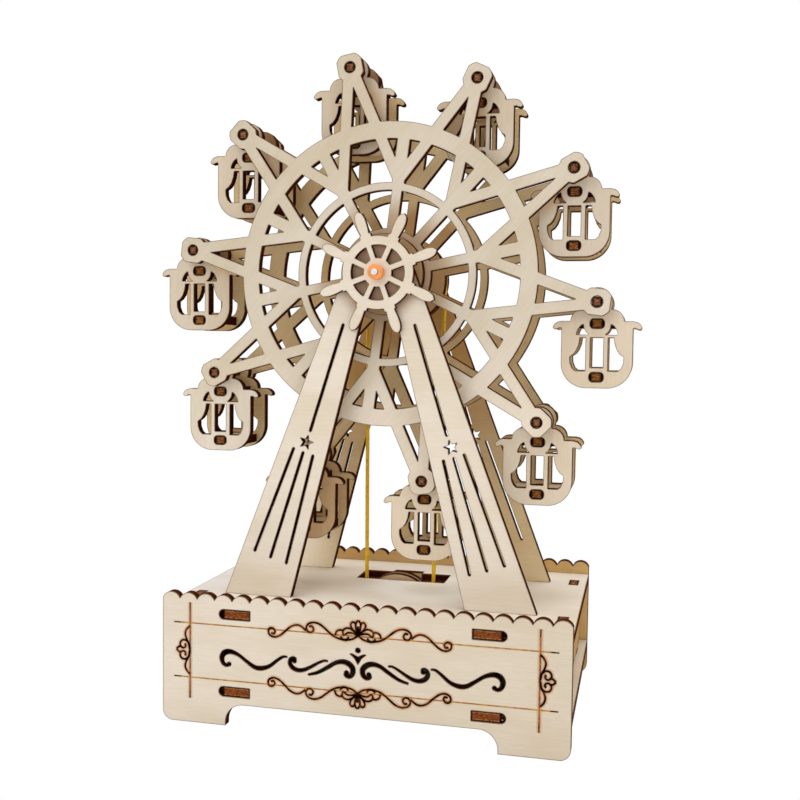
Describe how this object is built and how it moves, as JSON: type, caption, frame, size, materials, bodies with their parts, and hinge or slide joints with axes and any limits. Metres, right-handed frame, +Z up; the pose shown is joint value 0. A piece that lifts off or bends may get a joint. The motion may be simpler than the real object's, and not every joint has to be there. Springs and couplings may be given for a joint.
{
  "type": "hand cranked ferris wheel toy",
  "caption": "Laser-cut plywood ferris wheel on A-frames over a scalloped base, with swinging cabins, a helm on its axle and a belt drive from a hand crank at the back.",
  "frame": {"origin": "centre of the toy's outer box, on the surface that it stands on", "axes": "+Z up, +Y from the front panel towards the crank, +X to the right as seen from the front"},
  "size_m": [0.1668, 0.1062, 0.2199],
  "materials": {
    "birch_ply": "pale birch plywood with dark laser-cut edges",
    "birch_ply_shaded": "birch plywood with dark laser-cut edges",
    "steel": "plain round rod",
    "orange_plastic": "smooth moulded plastic",
    "yellow_rubber": "smooth round rubber belt"
  },
  "bodies": {
    "base": {"front_panel": "birch_ply", "back_panel": "birch_ply", "left_end_wall": "birch_ply", "right_end_wall": "birch_ply", "deck": "birch_ply", "floor_board": "birch_ply", "bearing_plate": "birch_ply", "front_frame": "birch_ply", "back_frame": "birch_ply", "drive_belt": "yellow_rubber"},
    "wheel": {"front_wheel": "birch_ply", "back_wheel": "birch_ply", "hub_disc": "birch_ply", "helm": "birch_ply", "wheel_axle": "steel", "axle_sleeves": "orange_plastic", "wheel_pulley_front_cheek": "birch_ply_shaded", "wheel_pulley_core": "birch_ply_shaded", "wheel_pulley_rear_cheek": "birch_ply_shaded"},
    "cabin_1": {"cabin_1_front_side": "birch_ply", "cabin_1_rear_side": "birch_ply", "cabin_1_boards": "birch_ply_shaded"},
    "cabin_2": {"cabin_2_front_side": "birch_ply", "cabin_2_rear_side": "birch_ply", "cabin_2_boards": "birch_ply_shaded"},
    "cabin_3": {"cabin_3_front_side": "birch_ply", "cabin_3_rear_side": "birch_ply", "cabin_3_boards": "birch_ply_shaded"},
    "cabin_4": {"cabin_4_front_side": "birch_ply", "cabin_4_rear_side": "birch_ply", "cabin_4_boards": "birch_ply_shaded"},
    "cabin_5": {"cabin_5_front_side": "birch_ply", "cabin_5_rear_side": "birch_ply", "cabin_5_boards": "birch_ply_shaded"},
    "cabin_6": {"cabin_6_front_side": "birch_ply", "cabin_6_rear_side": "birch_ply", "cabin_6_boards": "birch_ply_shaded"},
    "cabin_7": {"cabin_7_front_side": "birch_ply", "cabin_7_rear_side": "birch_ply", "cabin_7_boards": "birch_ply_shaded"},
    "cabin_8": {"cabin_8_front_side": "birch_ply", "cabin_8_rear_side": "birch_ply", "cabin_8_boards": "birch_ply_shaded"},
    "cabin_9": {"cabin_9_front_side": "birch_ply", "cabin_9_rear_side": "birch_ply", "cabin_9_boards": "birch_ply_shaded"},
    "cabin_10": {"cabin_10_front_side": "birch_ply", "cabin_10_rear_side": "birch_ply", "cabin_10_boards": "birch_ply_shaded"},
    "crank": {"crank_shaft": "steel", "crank_sleeves": "orange_plastic", "crank_pulley_front_cheek": "birch_ply_shaded", "crank_pulley_core": "birch_ply_shaded", "crank_pulley_rear_cheek": "birch_ply_shaded", "crank_arm": "birch_ply", "crank_pin": "steel"},
    "knob": {"crank_knob": "birch_ply_shaded"}
  },
  "joints": [
    {"name": "wheel_spin", "type": "hinge", "parent": "base", "child": "wheel", "pos_m": [0, -0.0101, 0.1464], "axis": [0, 1, 0], "continuous": true},
    {"name": "cabin_1_swing", "type": "hinge", "parent": "wheel", "child": "cabin_1", "pos_m": [0.02972, -0.0101, 0.20956], "axis": [0, 1, 0], "continuous": true},
    {"name": "cabin_2_swing", "type": "hinge", "parent": "wheel", "child": "cabin_2", "pos_m": [-0.01308, -0.0101, 0.21496], "axis": [0, 1, 0], "continuous": true},
    {"name": "cabin_3_swing", "type": "hinge", "parent": "wheel", "child": "cabin_3", "pos_m": [-0.05088, -0.0101, 0.19418], "axis": [0, 1, 0], "continuous": true},
    {"name": "cabin_4_swing", "type": "hinge", "parent": "wheel", "child": "cabin_4", "pos_m": [-0.06925, -0.0101, 0.15515], "axis": [0, 1, 0], "continuous": true},
    {"name": "cabin_5_swing", "type": "hinge", "parent": "wheel", "child": "cabin_5", "pos_m": [-0.06117, -0.0101, 0.11277], "axis": [0, 1, 0], "continuous": true},
    {"name": "cabin_6_swing", "type": "hinge", "parent": "wheel", "child": "cabin_6", "pos_m": [-0.02972, -0.0101, 0.08324], "axis": [0, 1, 0], "continuous": true},
    {"name": "cabin_7_swing", "type": "hinge", "parent": "wheel", "child": "cabin_7", "pos_m": [0.01308, -0.0101, 0.07784], "axis": [0, 1, 0], "continuous": true},
    {"name": "cabin_8_swing", "type": "hinge", "parent": "wheel", "child": "cabin_8", "pos_m": [0.05088, -0.0101, 0.09862], "axis": [0, 1, 0], "continuous": true},
    {"name": "cabin_9_swing", "type": "hinge", "parent": "wheel", "child": "cabin_9", "pos_m": [0.06925, -0.0101, 0.13765], "axis": [0, 1, 0], "continuous": true},
    {"name": "cabin_10_swing", "type": "hinge", "parent": "wheel", "child": "cabin_10", "pos_m": [0.06117, -0.0101, 0.18003], "axis": [0, 1, 0], "continuous": true},
    {"name": "crank_spin", "type": "hinge", "parent": "base", "child": "crank", "pos_m": [-0.0012, 0.01885, 0.0264], "axis": [0, 1, 0], "continuous": true},
    {"name": "knob_spin", "type": "hinge", "parent": "crank", "child": "knob", "pos_m": [-0.0012, 0.04535, 0.0064], "axis": [0, 1, 0], "continuous": true}
  ],
  "couplings": [
    {"joint": "cabin_1_swing", "follows": "wheel_spin", "ratio": -1},
    {"joint": "cabin_2_swing", "follows": "wheel_spin", "ratio": -1},
    {"joint": "cabin_3_swing", "follows": "wheel_spin", "ratio": -1},
    {"joint": "cabin_4_swing", "follows": "wheel_spin", "ratio": -1},
    {"joint": "cabin_5_swing", "follows": "wheel_spin", "ratio": -1},
    {"joint": "cabin_6_swing", "follows": "wheel_spin", "ratio": -1},
    {"joint": "cabin_7_swing", "follows": "wheel_spin", "ratio": -1},
    {"joint": "cabin_8_swing", "follows": "wheel_spin", "ratio": -1},
    {"joint": "cabin_9_swing", "follows": "wheel_spin", "ratio": -1},
    {"joint": "cabin_10_swing", "follows": "wheel_spin", "ratio": -1},
    {"joint": "crank_spin", "follows": "wheel_spin", "ratio": 1.1532}
  ]
}
